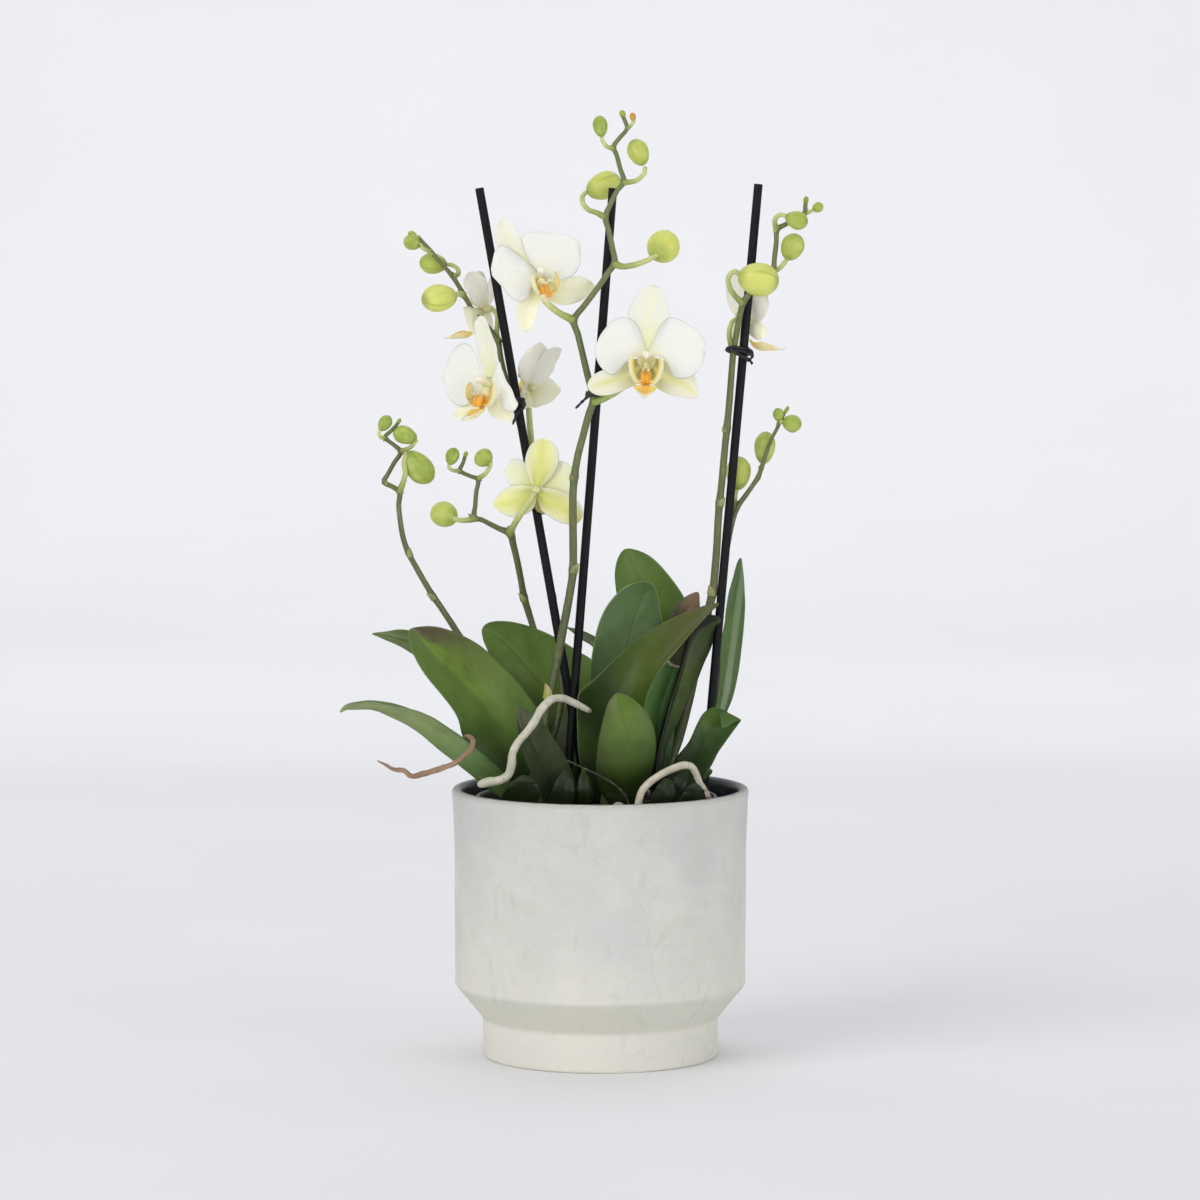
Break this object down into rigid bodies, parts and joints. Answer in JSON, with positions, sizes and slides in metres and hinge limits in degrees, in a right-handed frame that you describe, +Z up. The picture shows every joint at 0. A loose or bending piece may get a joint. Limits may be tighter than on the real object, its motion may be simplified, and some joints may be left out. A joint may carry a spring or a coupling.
{
  "type": "potted multiflora moth orchid",
  "caption": "Flowering moth orchid with staked stems, buds, broad leaves and aerial roots, growing from bark in an inner pot that stands in a straight-sided stoneware pot.",
  "frame": {"origin": "centre of the flat underside of the outer pot, on the surface it stands on", "axes": "+Z up through the pot's axis, +X to the right of the front view, -Y towards the front"},
  "size_m": [0.2312, 0.145, 0.4608],
  "materials": {
    "stoneware": "matte",
    "pot_plastic": "satin",
    "bark": "matte",
    "stake_black": "satin",
    "tie_black": "satin",
    "stem_green": "satin",
    "bud_green": "satin",
    "petal_ivory": "matte",
    "lip_yellow": "satin",
    "leaf_green": "satin",
    "leaf_brown": "satin",
    "root_pale": "matte",
    "root_brown": "matte",
    "crown_green": "satin"
  },
  "bodies": {
    "root": {"planter": "stoneware", "grow_pot": "pot_plastic", "bark_mix": "bark", "stake_left": "stake_black", "stake_middle": "stake_black", "stake_right": "stake_black", "clip_left": "tie_black", "clip_middle": "tie_black", "clip_right": "tie_black", "spike_middle": "stem_green", "spike_left": "stem_green", "spike_right": "stem_green", "side_spike_outer_left": "stem_green", "side_spike_inner_left": "stem_green", "side_spike_right": "stem_green", "bud_middle_1": "bud_green", "bud_middle_2": "bud_green", "bud_middle_3": "bud_green", "bud_left_1": "bud_green", "bud_right_1": "bud_green", "bud_right_2": "bud_green", "bud_outer_left_1": "bud_green", "bud_inner_left_1": "bud_green", "flower_1": "petal_ivory", "flower_2": "petal_ivory", "flower_3": "petal_ivory", "flower_4": "petal_ivory", "flower_5": "petal_ivory", "flower_6": "petal_ivory", "flower_7": "petal_ivory", "lip_1": "lip_yellow", "lip_2": "lip_yellow", "lip_3": "lip_yellow", "lip_4": "lip_yellow", "lip_5": "lip_yellow", "lip_6": "lip_yellow", "lip_7": "lip_yellow", "leaf_far_left": "leaf_green", "leaf_left_large": "leaf_green", "leaf_left_rear": "leaf_green", "leaf_centre_left_rear": "leaf_green", "leaf_low_dark": "leaf_green", "leaf_front": "leaf_green", "leaf_centre_long": "leaf_green", "leaf_centre_upright": "leaf_green", "leaf_rear_tall": "leaf_green", "leaf_rear_low": "leaf_green", "leaf_brown_tip": "leaf_brown", "leaf_broken_top": "leaf_green", "leaf_right_narrow": "leaf_green", "leaf_right_tall": "leaf_green", "leaf_right_folded": "leaf_green", "aerial_root_left": "root_pale", "aerial_root_front": "root_pale", "dry_root": "root_brown", "thin_root": "root_brown", "crown_left": "crown_green", "crown_centre": "crown_green", "crown_right": "crown_green"}
  },
  "joints": []
}
